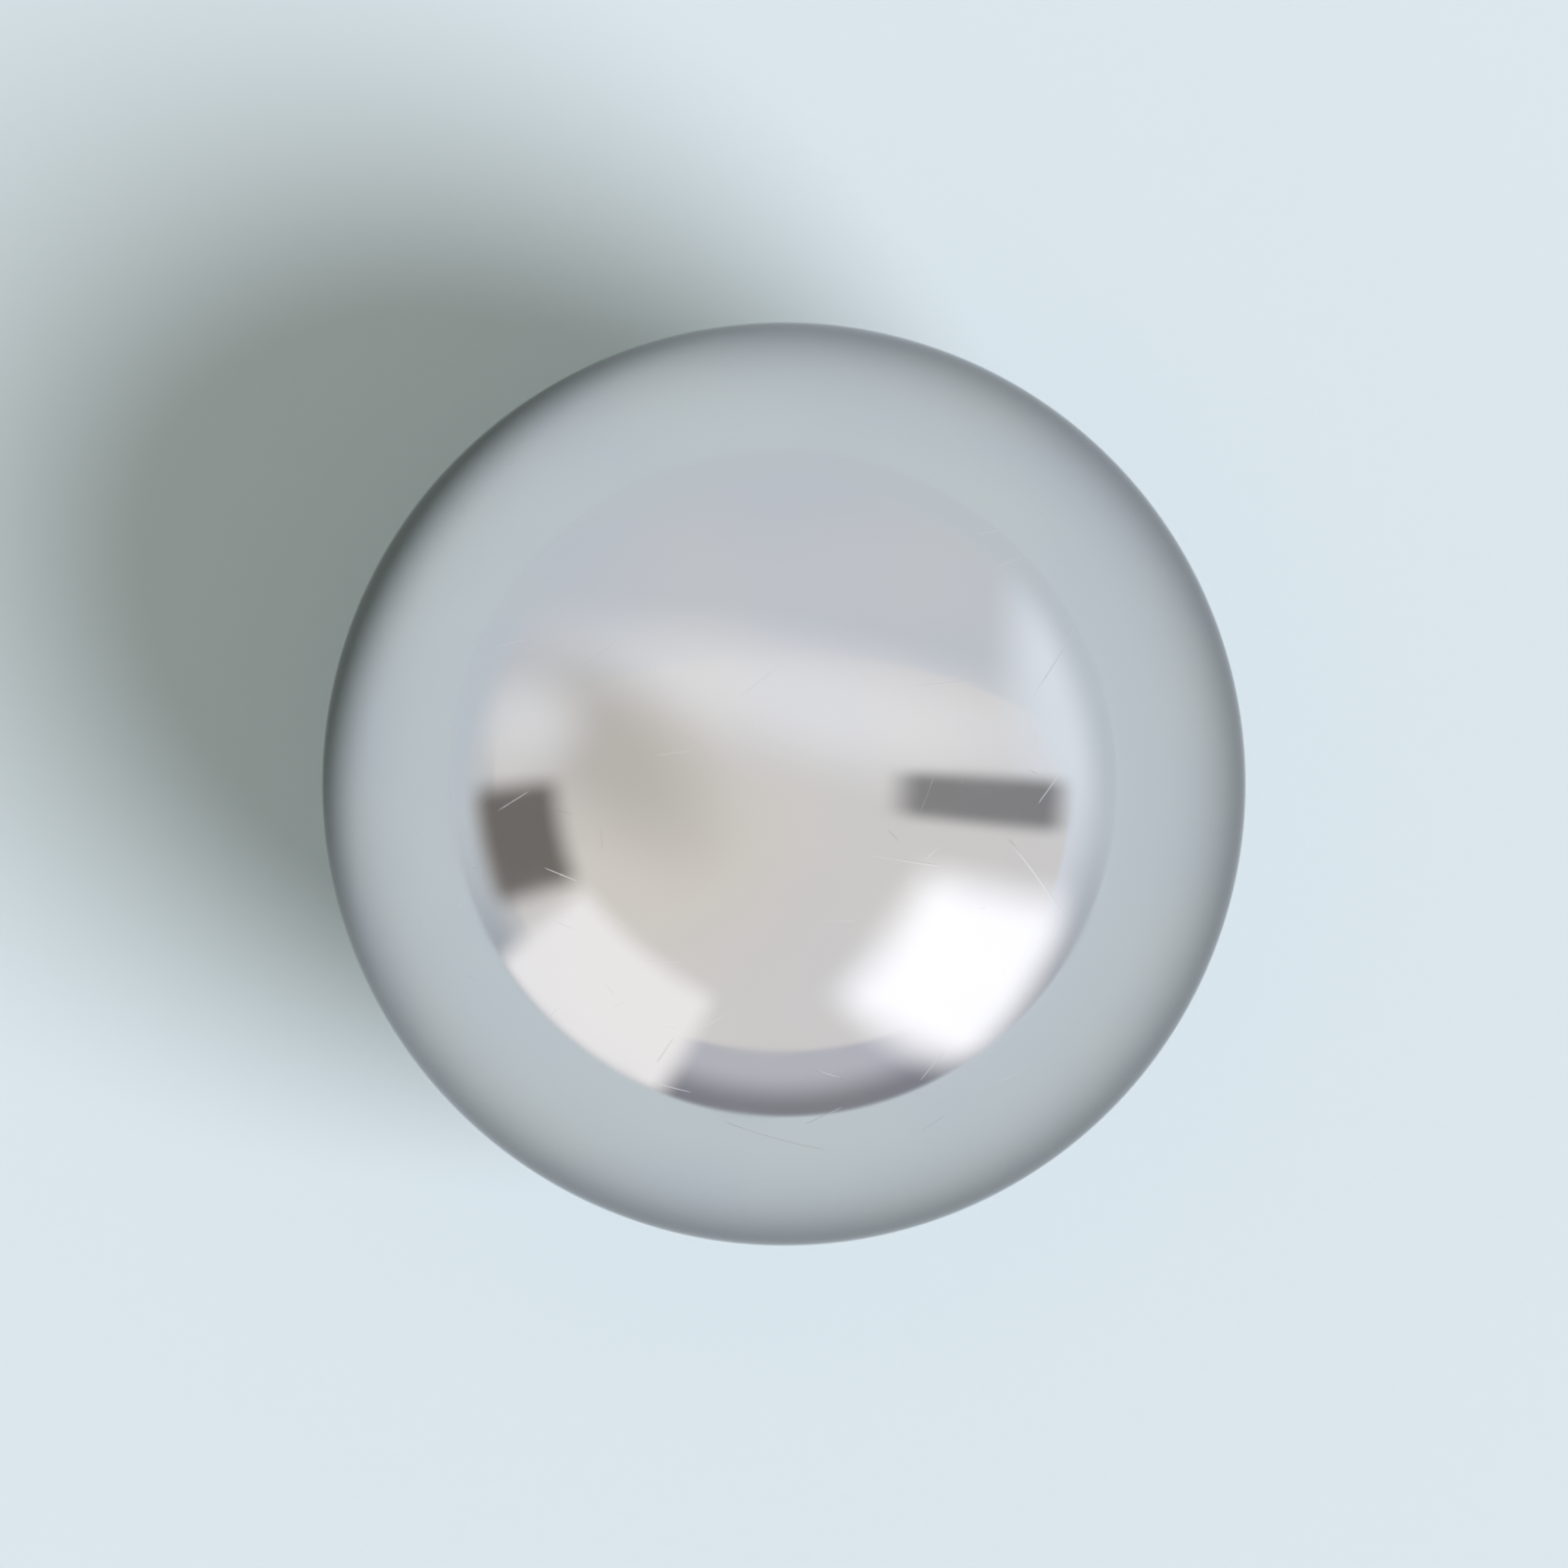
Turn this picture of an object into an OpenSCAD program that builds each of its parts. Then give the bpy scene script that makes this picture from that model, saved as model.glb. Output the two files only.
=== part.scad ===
// Solid steel ball, ground and lapped to one diameter and polished all over.
// Millimetres, +Z up, origin at the centre of the ball.

/* [Ball] */
// Diameter of the ball
ball_d = 4; // [1:0.1:12.7]

/* [Hidden] */
// Fineness of the drawn mesh
$fn = 180;
// Polished steel under soft white light
steel = [0.72, 0.73, 0.75];

// One piece with one unbroken surface, half a diameter from the origin everywhere: no seam, flat or bore
module ball() {
    color(steel)
        sphere(d = ball_d);
}

ball();
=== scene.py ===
import math

import bmesh
import bpy
from mathutils import Matrix, Vector


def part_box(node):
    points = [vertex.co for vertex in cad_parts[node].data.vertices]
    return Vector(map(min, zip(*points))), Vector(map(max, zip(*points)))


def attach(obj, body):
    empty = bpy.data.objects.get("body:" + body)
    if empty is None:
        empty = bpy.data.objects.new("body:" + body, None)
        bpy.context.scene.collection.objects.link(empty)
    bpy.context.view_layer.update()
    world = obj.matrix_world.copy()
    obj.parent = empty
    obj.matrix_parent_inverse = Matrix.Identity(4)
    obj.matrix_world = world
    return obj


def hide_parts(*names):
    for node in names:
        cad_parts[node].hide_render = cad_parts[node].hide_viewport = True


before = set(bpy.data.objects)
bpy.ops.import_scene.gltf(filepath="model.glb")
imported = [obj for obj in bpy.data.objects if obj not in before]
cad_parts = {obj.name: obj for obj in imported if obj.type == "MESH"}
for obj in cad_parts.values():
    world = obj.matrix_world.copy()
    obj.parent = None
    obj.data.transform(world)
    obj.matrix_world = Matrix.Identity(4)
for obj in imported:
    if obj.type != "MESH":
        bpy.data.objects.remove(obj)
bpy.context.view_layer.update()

# The ball, from the frame: its centre is the origin
ball_low, ball_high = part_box("ball")
RADIUS = (ball_high.z - ball_low.z) / 2
CENTRE = Vector((0, 0, 0))
FLOOR_Z = -RADIUS
MICRON = 1e-6

# Mesh of the ball: the six sides of a cube rounded to a sphere, each this many faces across
SIDE_FACES = 64
# Gap around each side in the texture layout
SIDE_MARGIN = 0.006
# Corners this close together are one
MERGE_WITHIN = RADIUS * 1e-4

# Colour of the steel: two shades in soft clouds, whose scale counts clouds to a radius
STEEL = (0.67, 0.67, 0.68)
STEEL_WARM = (0.69, 0.684, 0.675)
TINT_SCALE = 2.2
TINT_DETAIL = 2
TINT_FROM = 0.35
TINT_TO = 0.65
# Share of an ideal metal's reflection that is left near the outline: less than real steel keeps, so that
# the outline stays clear on the pale floor
EDGE_TINT = (0.42, 0.42, 0.425)
# Roughness of the polish, with a faint uneven haze, and what a mark adds to it
ROUGH_CLEAN = 0.05
ROUGH_HAZY = 0.095
ROUGH_MARK = 0.22
HAZE_SCALE = 5.5
HAZE_DETAIL = 3
HAZE_FROM = 0.4
HAZE_TO = 0.7

# Fine marks left by lapping and handling: cells to a radius, sizes as shares of the radius, and the share
# of the cells that stay bare
LONG_SCALE = 3.4
LONG_HALF_WIDTH = 3.2 * MICRON / RADIUS
LONG_REACH = 0.14
LONG_BARE = 0.35
SHORT_SCALE = 9.0
SHORT_HALF_WIDTH = 2.4 * MICRON / RADIUS
SHORT_REACH = 0.05
SHORT_BARE = 0.45
PIT_SIZE = 10 * MICRON / RADIUS
MARK_SLOPE = 1.0
# A scratch fades out from this share of its reach
MARK_FADE_FROM = 0.5

# Floor, and what shows for it past its edge
FLOOR_COLOR = (0.72, 0.805, 0.85)
LIT_FLOOR = (0.716, 0.807, 0.855)
FLOOR_RADIUS = 400 * RADIUS
FLOOR_FADE_FROM = 200 * RADIUS
FLOOR_SIDES = 128

# Key light, which throws the shadow: a round soft light, and where its middle stands, seen from the ball
KEY_AZIMUTH = math.radians(-29)
KEY_ELEVATION = math.radians(48)
KEY_HALF_ANGLE = math.radians(16)
KEY_DISTANCE = 4000 * RADIUS
KEY_RADIANCE = 11.0
KEY_COLOR = (0.985, 0.97, 1.04)
# Light that the room gives to surfaces that aren't mirrors
ROOM_FILL = 0.39
ROOM_FILL_COLOR = (0.99, 1.02, 0.91)

# Room that the ball mirrors: distance of each wall as a multiple of the ceiling's height above the ball
WALL_RIGHT_AT = 3.7
WALL_LEFT_AT = 4.0
WALL_FAR_AT = 0.62
WALL_NEAR_AT = 2.6
CEILING = (0.87, 0.855, 0.85)
WALL_RIGHT = (0.90, 0.94, 1.02)
WALL_LEFT = (0.75, 0.75, 0.76)
WALL_FAR = (0.70, 0.755, 0.825)
WALL_NEAR = (0.64, 0.645, 0.72)
# Softness of the ceiling's edge, of the corners, of the horizon and of an edge that is drawn sharp
CEILING_EDGE = 0.05
CORNER_EDGE = 0.02
HORIZON_EDGE = 0.02
SHARP_EDGE = 1e-4
# Least rise over the horizon that a distance is divided by
LEAST_RISE = 1e-3
# The walls lower down: near and far colour, and where in the plan's height each is reached
LOW_NEAR = (0.30, 0.305, 0.345)
LOW_FAR = (0.70, 0.775, 0.83)
LOW_NEAR_TO = -0.65
LOW_FAR_FROM = -0.05
# How high above the horizon, as the sine of the angle, the walls keep that colour and lose it
LOW_UP_TO = 0.04
HIGH_FROM = 0.26

# Soft ovals of light and shade: middle and half size in the plan, softness, turn in degrees, colour
OVALS = [
    # Cool grey along the top of the far wall
    ((0.10, 0.42), (0.50, 0.15), 1.0, 0, (0.76, 0.79, 0.845)),
    # Bright band of ceiling beside it
    ((0.08, 0.165), (0.46, 0.11), 0.8, -11, (1.04, 1.045, 1.07)),
    # Warm light on the left of the ceiling
    ((-0.28, -0.12), (0.24, 0.20), 1.0, 0, (0.885, 0.84, 0.775)),
    # Shade that runs down beside it
    ((-0.36, 0.06), (0.23, 0.125), 0.8, -44, (0.68, 0.655, 0.62)),
    # Light spot above the post
    ((-0.55, 0.13), (0.10, 0.085), 0.9, 0, (0.95, 0.955, 0.97)),
    # Cold light on the right wall
    ((0.72, 0.27), (0.235, 0.37), 0.32, 0, (0.99, 1.06, 1.14)),
]
# Flat panels that face the ball: azimuth, elevation, width, height and turn in degrees, softness of the
# upright and of the level edges, colour
PANELS = [
    # Window
    (-47, 24, 38, 42, 19, (0.40, 0.44), (1.48, 1.48, 1.53)),
    # Light surface at the lower left
    (-130, 17, 38, 36, 0, (0.18, 0.26), (1.17, 1.155, 1.165)),
    # Dark post at the left
    (-168, 20.5, 22, 24, 0, (0.30, 0.42), (0.22, 0.205, 0.19)),
    # Dark bar at the right
    (-4.6, 39.5, 10.5, 44, 0, (0.46, 0.28), (0.31, 0.31, 0.32)),
]

# Camera: straight above, far enough back for the flat view of a long lens; clipping as shares of its height
LENS = 200
SENSOR = 36
VIEW_WIDTH = 3.4 * RADIUS
CLIP_START = 0.01
CLIP_END = 10


# Shader node helpers
def add_node(tree, kind, **settings):
    made = tree.nodes.new(kind)
    for name, value in settings.items():
        setattr(made, name, value)
    return made


def feed(tree, socket, value):
    """Links a socket, or writes a plain value into it."""
    if isinstance(value, bpy.types.NodeSocket):
        tree.links.new(value, socket)
    else:
        socket.default_value = value


def calc(tree, operation, *values):
    made = add_node(tree, "ShaderNodeMath", operation=operation)
    for socket, value in zip(made.inputs, values):
        feed(tree, socket, value)
    return made.outputs[0]


def vector_calc(tree, operation, *values):
    made = add_node(tree, "ShaderNodeVectorMath", operation=operation)
    sockets = (made.inputs[0], made.inputs["Scale"]) if operation == "SCALE" else made.inputs
    for socket, value in zip(sockets, values):
        feed(tree, socket, value)
    number_out = operation in ("DOT_PRODUCT", "DISTANCE", "LENGTH")
    return made.outputs["Value" if number_out else "Vector"]


def split_xyz(tree, vector):
    made = add_node(tree, "ShaderNodeSeparateXYZ")
    tree.links.new(vector, made.inputs[0])
    return made.outputs


def ramp(tree, value, start, end, low=0.0, high=1.0):
    """Goes smoothly from low to high as value goes from start to end."""
    made = add_node(tree, "ShaderNodeMapRange", interpolation_type="SMOOTHSTEP")
    feed(tree, made.inputs["Value"], value)
    made.inputs["From Min"].default_value = start
    made.inputs["From Max"].default_value = end
    made.inputs["To Min"].default_value = low
    made.inputs["To Max"].default_value = high
    return made.outputs["Result"]


def choose(tree, value, below, above):
    """One number where value is below 0, another where it is above."""
    return ramp(tree, value, -SHARP_EDGE, SHARP_EDGE, below, above)


def mix_color(tree, share, color_a, color_b):
    """Mixes two colours. The node's own sockets for colours are its inputs 6 and 7 and its output 2."""
    made = add_node(tree, "ShaderNodeMix", data_type="RGBA")
    feed(tree, made.inputs["Factor"], share)
    for socket, color in ((made.inputs[6], color_a), (made.inputs[7], color_b)):
        feed(tree, socket, color if isinstance(color, bpy.types.NodeSocket) else (*color, 1))
    return made.outputs[2]


def noise(tree, point, scale, detail):
    made = add_node(tree, "ShaderNodeTexNoise")
    feed(tree, made.inputs["Vector"], point)
    made.inputs["Scale"].default_value = scale
    made.inputs["Detail"].default_value = detail
    return made.outputs["Fac"]


def new_material(name):
    material = bpy.data.materials.new(name)
    material.use_nodes = True
    tree = material.node_tree
    tree.nodes.clear()
    return material, tree, add_node(tree, "ShaderNodeOutputMaterial")


# Ball mesh
def cube_sides():
    """For each side of a cube: the way out, and the two ways across it, which turn right-handed."""
    x, y, z = Vector((1, 0, 0)), Vector((0, 1, 0)), Vector((0, 0, 1))
    return [(x, y, z), (y, -x, z), (-x, -y, z), (-y, x, z), (z, x, y), (-z, x, -y)]


def ball_point(out, across, up, i, j):
    """A point of the ball on an even grid of angles over one side."""
    step = math.radians(90) / SIDE_FACES
    along_across = math.tan(i * step - math.radians(45))
    along_up = math.tan(j * step - math.radians(45))
    return CENTRE + (out + across * along_across + up * along_up).normalized() * RADIUS


def layout_point(side, i, j):
    """The texture place of that point: the sides lie three in a row, in two rows."""
    column, row = side % 3, side // 3
    across = SIDE_MARGIN + (1 / 3 - 2 * SIDE_MARGIN) * i / SIDE_FACES
    up = SIDE_MARGIN + (1 / 2 - 2 * SIDE_MARGIN) * j / SIDE_FACES
    return column / 3 + across, row / 2 + up


def build_ball():
    """A round ball of even faces, with every corner and its normal exactly as on the sphere."""
    bm = bmesh.new()
    layout = bm.loops.layers.uv.new("OFBake")
    corners = ((0, 0), (1, 0), (1, 1), (0, 1))
    count = SIDE_FACES + 1
    for side, ways in enumerate(cube_sides()):
        grid = [[bm.verts.new(ball_point(*ways, i, j)) for j in range(count)] for i in range(count)]
        for i in range(SIDE_FACES):
            for j in range(SIDE_FACES):
                face = bm.faces.new([grid[i + a][j + b] for a, b in corners])
                face.smooth = True
                for loop, (a, b) in zip(face.loops, corners):
                    loop[layout].uv = layout_point(side, i + a, j + b)
    bmesh.ops.remove_doubles(bm, verts=bm.verts, dist=MERGE_WITHIN)
    mesh = bpy.data.meshes.new("steel_ball")
    bm.to_mesh(mesh)
    bm.free()
    normals = [(vertex.co - CENTRE).normalized() for vertex in mesh.vertices]
    mesh.normals_split_custom_set_from_vertices(normals)
    ball = bpy.data.objects.new("steel_ball", mesh)
    bpy.context.scene.collection.objects.link(ball)
    return ball


# Steel
def hairlines(tree, way, scale, half_width, reach, bare):
    """Fine scratches, one to a cell of a random scatter, each along the surface in a way of its own.

    Gives how deep in a scratch a point is, from 0 to 1, the slope of the scratch's flank there as a
    vector, and the distance to the cell's middle. Sizes are shares of the ball's radius.
    """
    cells = add_node(tree, "ShaderNodeTexVoronoi")
    cells.inputs["Scale"].default_value = scale
    tree.links.new(way, cells.inputs["Vector"])
    middle = cells.outputs["Position"]
    random_way = vector_calc(tree, "SUBTRACT", cells.outputs["Color"], (0.5, 0.5, 0.5))
    side = vector_calc(tree, "NORMALIZE", vector_calc(tree, "CROSS_PRODUCT", random_way, middle))
    offset = vector_calc(tree, "DOT_PRODUCT", vector_calc(tree, "SUBTRACT", way, middle), side)
    across = ramp(tree, calc(tree, "ABSOLUTE", offset), 0, half_width, 1, 0)
    distance = cells.outputs["Distance"]
    end = reach * scale
    inside = ramp(tree, distance, MARK_FADE_FROM * end, end, 1, 0)
    random_number = split_xyz(tree, cells.outputs["Color"])["X"]
    strength = calc(tree, "MULTIPLY", inside, ramp(tree, random_number, bare, 1))
    depth = calc(tree, "MULTIPLY", across, strength)
    steepness = calc(tree, "MULTIPLY", calc(tree, "SUBTRACT", 1, across), depth)
    flank = vector_calc(tree, "SCALE", side, calc(tree, "MULTIPLY", steepness, calc(tree, "SIGN", offset)))
    return depth, flank, distance


def fine_marks(tree, way):
    """Long and short hairlines, and pin-prick pits at the middle of the short ones' cells."""
    long_depth, long_flank, _ = hairlines(tree, way, LONG_SCALE, LONG_HALF_WIDTH, LONG_REACH, LONG_BARE)
    short_depth, short_flank, distance = hairlines(
        tree, way, SHORT_SCALE, SHORT_HALF_WIDTH, SHORT_REACH, SHORT_BARE)
    pits = ramp(tree, distance, 0, PIT_SIZE * SHORT_SCALE, 1, 0)
    depth = calc(tree, "MAXIMUM", calc(tree, "MAXIMUM", long_depth, short_depth), pits)
    return depth, vector_calc(tree, "ADD", long_flank, short_flank)


def steel_material():
    """Mirror-polished steel with a faint uneven haze and sparse fine marks."""
    material, tree, output = new_material("polished_steel")
    point = add_node(tree, "ShaderNodeTexCoord").outputs["Object"]
    way = vector_calc(tree, "NORMALIZE", point)
    steel = add_node(tree, "ShaderNodeBsdfPrincipled")
    steel.inputs["Metallic"].default_value = 1.0
    steel.inputs["Specular Tint"].default_value = (*EDGE_TINT, 1)

    tint = ramp(tree, noise(tree, way, TINT_SCALE, TINT_DETAIL), TINT_FROM, TINT_TO)
    tree.links.new(mix_color(tree, tint, STEEL, STEEL_WARM), steel.inputs["Base Color"])

    clouds = noise(tree, way, HAZE_SCALE, HAZE_DETAIL)
    haze = ramp(tree, clouds, HAZE_FROM, HAZE_TO, ROUGH_CLEAN, ROUGH_HAZY)
    marks, flank = fine_marks(tree, way)
    worn = calc(tree, "MULTIPLY", marks, ROUGH_MARK)
    tree.links.new(calc(tree, "ADD", haze, worn), steel.inputs["Roughness"])

    smooth = add_node(tree, "ShaderNodeNewGeometry").outputs["Normal"]
    tilted = vector_calc(tree, "ADD", smooth, vector_calc(tree, "SCALE", flank, MARK_SLOPE))
    tree.links.new(vector_calc(tree, "NORMALIZE", tilted), steel.inputs["Normal"])
    tree.links.new(steel.outputs["BSDF"], output.inputs["Surface"])
    return material


# Floor
def floor_material():
    """Plain pale floor that fades into the backdrop far from the ball."""
    material, tree, output = new_material("pale_floor")
    point = add_node(tree, "ShaderNodeTexCoord").outputs["Object"]
    plain = add_node(tree, "ShaderNodeBsdfDiffuse")
    plain.inputs["Color"].default_value = (*FLOOR_COLOR, 1)
    clear = add_node(tree, "ShaderNodeBsdfTransparent")
    fade = ramp(tree, vector_calc(tree, "LENGTH", point), FLOOR_FADE_FROM, FLOOR_RADIUS)
    both = add_node(tree, "ShaderNodeMixShader")
    tree.links.new(fade, both.inputs["Fac"])
    tree.links.new(plain.outputs["BSDF"], both.inputs[1])
    tree.links.new(clear.outputs["BSDF"], both.inputs[2])
    tree.links.new(both.outputs["Shader"], output.inputs["Surface"])
    return material


def build_floor():
    bm = bmesh.new()
    bmesh.ops.create_circle(bm, cap_ends=True, segments=FLOOR_SIDES, radius=FLOOR_RADIUS)
    mesh = bpy.data.meshes.new("floor")
    bm.to_mesh(mesh)
    bm.free()
    mesh.materials.append(floor_material())
    floor = bpy.data.objects.new("floor", mesh)
    floor.location.z = FLOOR_Z
    bpy.context.scene.collection.objects.link(floor)


# Room that the ball mirrors
def along(azimuth, elevation):
    """The unit vector from the ball that way."""
    flat = math.cos(elevation)
    return Vector((flat * math.cos(azimuth), flat * math.sin(azimuth), math.sin(elevation)))


def room_color(tree, direction):
    """Ceiling and four walls of a room, as seen from the ball.

    Gives the colour of the wall that way, the wall's share there beside the ceiling's, and the rise
    over the horizon.
    """
    x, y, rise = split_xyz(tree, direction)
    wide = choose(tree, x, WALL_LEFT_AT, WALL_RIGHT_AT)
    deep = choose(tree, y, WALL_NEAR_AT, WALL_FAR_AT)
    over_x = calc(tree, "DIVIDE", calc(tree, "ABSOLUTE", x), wide)
    over_y = calc(tree, "DIVIDE", calc(tree, "ABSOLUTE", y), deep)
    side_wall = mix_color(tree, choose(tree, x, 0, 1), WALL_LEFT, WALL_RIGHT)
    end_wall = mix_color(tree, choose(tree, y, 0, 1), WALL_NEAR, WALL_FAR)
    lead = calc(tree, "DIVIDE", over_y, calc(tree, "ADD", over_x, over_y))
    at_end = ramp(tree, lead, 0.5 - CORNER_EDGE, 0.5 + CORNER_EDGE)
    walls = mix_color(tree, at_end, side_wall, end_wall)
    height = calc(tree, "MAXIMUM", rise, LEAST_RISE)
    reach = calc(tree, "DIVIDE", calc(tree, "MAXIMUM", over_x, over_y), height)
    on_walls = ramp(tree, reach, 1 - CEILING_EDGE, 1 + CEILING_EDGE)
    return walls, on_walls, rise


def lay_oval(tree, plan, color, middle, half, soft, turn, oval_color):
    """Lays a soft oval of colour over the dome, placed and sized in its plan."""
    mapping = add_node(tree, "ShaderNodeMapping", vector_type="TEXTURE")
    tree.links.new(plan, mapping.inputs["Vector"])
    mapping.inputs["Location"].default_value = (*middle, 0)
    mapping.inputs["Rotation"].default_value = (0, 0, math.radians(turn))
    mapping.inputs["Scale"].default_value = (*half, 1)
    distance = vector_calc(tree, "LENGTH", mapping.outputs["Vector"])
    return mix_color(tree, ramp(tree, distance, 1 - soft, 1 + soft, 1, 0), color, oval_color)


def lay_panel(tree, direction, color, azimuth, elevation, wide, tall, turn, soft, panel_color):
    """Lays a flat rectangle over the dome, square to the way from the ball."""
    facing = along(math.radians(azimuth), math.radians(elevation))
    turned = Matrix.Rotation(math.radians(turn), 3, facing)
    across = turned @ Vector((0, 0, 1)).cross(facing).normalized()
    up = facing.cross(across)
    depth = vector_calc(tree, "DOT_PRODUCT", direction, facing)
    share = calc(tree, "GREATER_THAN", depth, 0)
    for axis, angle, edge_soft in ((across, wide, soft[0]), (up, tall, soft[1])):
        offset = calc(tree, "ABSOLUTE", vector_calc(tree, "DOT_PRODUCT", direction, axis))
        slope = calc(tree, "DIVIDE", offset, depth)
        edge = math.tan(math.radians(angle) / 2)
        inside = ramp(tree, slope, edge * (1 - edge_soft), edge * (1 + edge_soft), 1, 0)
        share = calc(tree, "MULTIPLY", share, inside)
    return mix_color(tree, share, color, panel_color)


def dome_color(tree):
    """The room as the ball and the camera see it.

    A direction's place in the plan is where a mirror ball shows it from straight above:
    0 is overhead and 0.707 is the horizon.
    """
    direction = add_node(tree, "ShaderNodeTexCoord").outputs["Generated"]
    # A direction below the horizon counts as level here, and gets the floor's colour in the end
    above = vector_calc(tree, "MAXIMUM", direction, (-1, -1, 0))
    plan = vector_calc(tree, "NORMALIZE", vector_calc(tree, "ADD", above, (0, 0, 1)))
    plan = vector_calc(tree, "MULTIPLY", plan, (1, 1, 0))

    walls, on_walls, rise = room_color(tree, direction)
    color = mix_color(tree, on_walls, CEILING, walls)
    for oval in OVALS:
        color = lay_oval(tree, plan, color, *oval)
    away = ramp(tree, split_xyz(tree, plan)["Y"], LOW_NEAR_TO, LOW_FAR_FROM)
    low = mix_color(tree, away, LOW_NEAR, LOW_FAR)
    color = mix_color(tree, ramp(tree, rise, LOW_UP_TO, HIGH_FROM), low, color)
    for panel in PANELS:
        color = lay_panel(tree, direction, color, *panel)
    return mix_color(tree, ramp(tree, rise, -HORIZON_EDGE, HORIZON_EDGE), LIT_FLOOR, color)


# World, light and camera
def build_world():
    """The room for the camera and for what the ball mirrors of it, and an even fill for all other light."""
    world = bpy.data.worlds.new("studio")
    world.use_nodes = True
    tree = world.node_tree
    tree.nodes.clear()
    output = add_node(tree, "ShaderNodeOutputWorld")
    seen = add_node(tree, "ShaderNodeBackground")
    tree.links.new(dome_color(tree), seen.inputs["Color"])
    fill = add_node(tree, "ShaderNodeBackground")
    fill.inputs["Color"].default_value = (*ROOM_FILL_COLOR, 1)
    fill.inputs["Strength"].default_value = ROOM_FILL
    path = add_node(tree, "ShaderNodeLightPath")
    mirrored = calc(tree, "MAXIMUM", path.outputs["Is Glossy Ray"], path.outputs["Is Transmission Ray"])
    unscattered = calc(tree, "LESS_THAN", path.outputs["Diffuse Depth"], 1)
    in_mirror = calc(tree, "MULTIPLY", mirrored, unscattered)
    shown = calc(tree, "MAXIMUM", path.outputs["Is Camera Ray"], in_mirror)
    both = add_node(tree, "ShaderNodeMixShader")
    tree.links.new(shown, both.inputs["Fac"])
    tree.links.new(fill.outputs["Background"], both.inputs[1])
    tree.links.new(seen.outputs["Background"], both.inputs[2])
    tree.links.new(both.outputs["Shader"], output.inputs["Surface"])
    # The fill is the same all round, so no light samples are aimed at it
    world.cycles.sampling_method = "NONE"
    bpy.context.scene.world = world


def build_key_light():
    """One round soft light, lower right of the picture. The ball mirrors the room's window instead of it."""
    lamp = bpy.data.lights.new("key_light", "AREA")
    lamp.shape = "DISK"
    lamp.size = 2 * KEY_DISTANCE * math.tan(KEY_HALF_ANGLE)
    # Power of a flat disc that shines evenly with that radiance
    area = math.pi * (lamp.size / 2) ** 2
    lamp.energy = KEY_RADIANCE * math.pi * area
    lamp.color = KEY_COLOR
    light = bpy.data.objects.new("key_light", lamp)
    way = along(KEY_AZIMUTH, KEY_ELEVATION)
    light.location = CENTRE + way * KEY_DISTANCE
    light.rotation_mode = "QUATERNION"
    light.rotation_quaternion = (-way).to_track_quat("-Z", "Y")
    light.visible_glossy = False
    bpy.context.scene.collection.objects.link(light)


def build_camera():
    """Looks straight down, with +Y at the top of the picture."""
    data = bpy.data.cameras.new("camera")
    data.lens = LENS
    data.sensor_width = SENSOR
    height = VIEW_WIDTH * LENS / SENSOR
    data.clip_start = height * CLIP_START
    data.clip_end = height * CLIP_END
    camera = bpy.data.objects.new("camera", data)
    camera.location = CENTRE + Vector((0, 0, height))
    bpy.context.scene.collection.objects.link(camera)
    bpy.context.scene.camera = camera


# The scene, and the one piece in it
build_camera()
build_floor()
build_world()
build_key_light()

ball = build_ball()
ball.data.materials.append(steel_material())
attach(ball, "root")
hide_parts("ball")

bpy.context.scene.view_settings.view_transform = "Standard"
